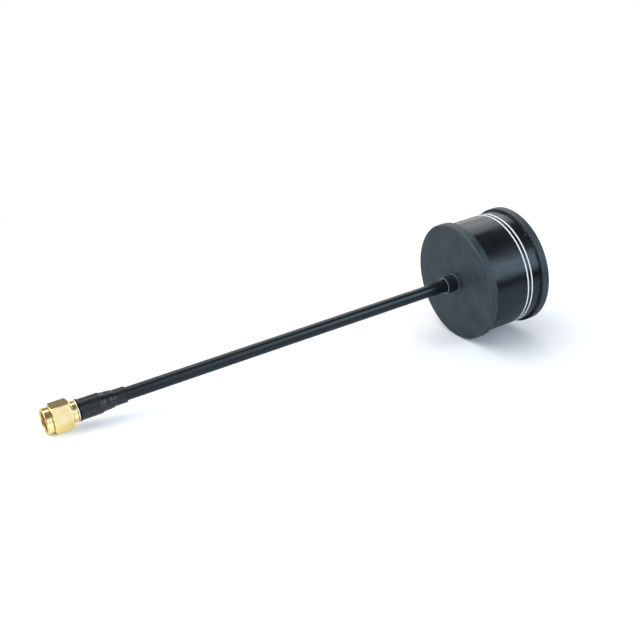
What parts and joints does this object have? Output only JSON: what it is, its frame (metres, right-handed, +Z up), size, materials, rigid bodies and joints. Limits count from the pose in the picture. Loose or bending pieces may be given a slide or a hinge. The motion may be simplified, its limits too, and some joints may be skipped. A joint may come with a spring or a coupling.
{
  "type": "fpv antenna",
  "caption": "Omnidirectional video antenna: a flat round drum with white lines on a straight coaxial stalk, with a stepped boot and a gold screw-on plug, lying on a surface.",
  "frame": {"origin": "on the floor, under the middle of the antenna's bounding box as it lies", "axes": "+X along the stalk's line on the floor, from the plug to the drum; +Z up"},
  "size_m": [0.1652, 0.0394, 0.0417],
  "materials": {
    "gold_plating": "bright gold plating over brass",
    "spring_wire": "drawn spring bronze",
    "silicone": "matte silicone rubber",
    "fluoropolymer": "waxy white fluoropolymer",
    "ferrule_plating": "pale gold plating",
    "heat_shrink": "black heat-shrink tubing",
    "jacket_skin": "glossy black cable jacket",
    "tinned_copper": "tinned copper",
    "copper": "silver-plated copper wire, worn to copper",
    "solder": "bright solder",
    "cap_plastic": "matte slate grey plastic",
    "sleeve_plastic": "glossy black plastic",
    "white_paint": "white filler paint"
  },
  "bodies": {
    "antenna": {"snap_ring": "spring_wire", "sealing_gasket": "silicone", "connector_shell": "gold_plating", "contact_insulator": "fluoropolymer", "centre_pin": "gold_plating", "cable_ferrule": "ferrule_plating", "heat_shrink_boot": "heat_shrink", "cable_core": "copper", "cable_dielectric": "fluoropolymer", "cable_shield": "tinned_copper", "cable_jacket": "jacket_skin", "base_cap": "cap_plastic", "housing_sleeve": "sleeve_plastic", "top_cap": "cap_plastic", "lower_white_line": "white_paint", "upper_white_line": "white_paint", "core_solder_joint": "solder", "shield_solder_joint": "solder", "antenna_leaf_1": "copper", "antenna_leaf_2": "copper", "antenna_leaf_3": "copper", "antenna_leaf_4": "copper"},
    "nut": {"coupling_nut": "gold_plating"}
  },
  "joints": [
    {"name": "coupling_nut_spin", "type": "hinge", "parent": "antenna", "child": "nut", "pos_m": [-0.08221, 0, 0.00383], "axis": [0.9937, 0, 0.1122], "continuous": true}
  ]
}
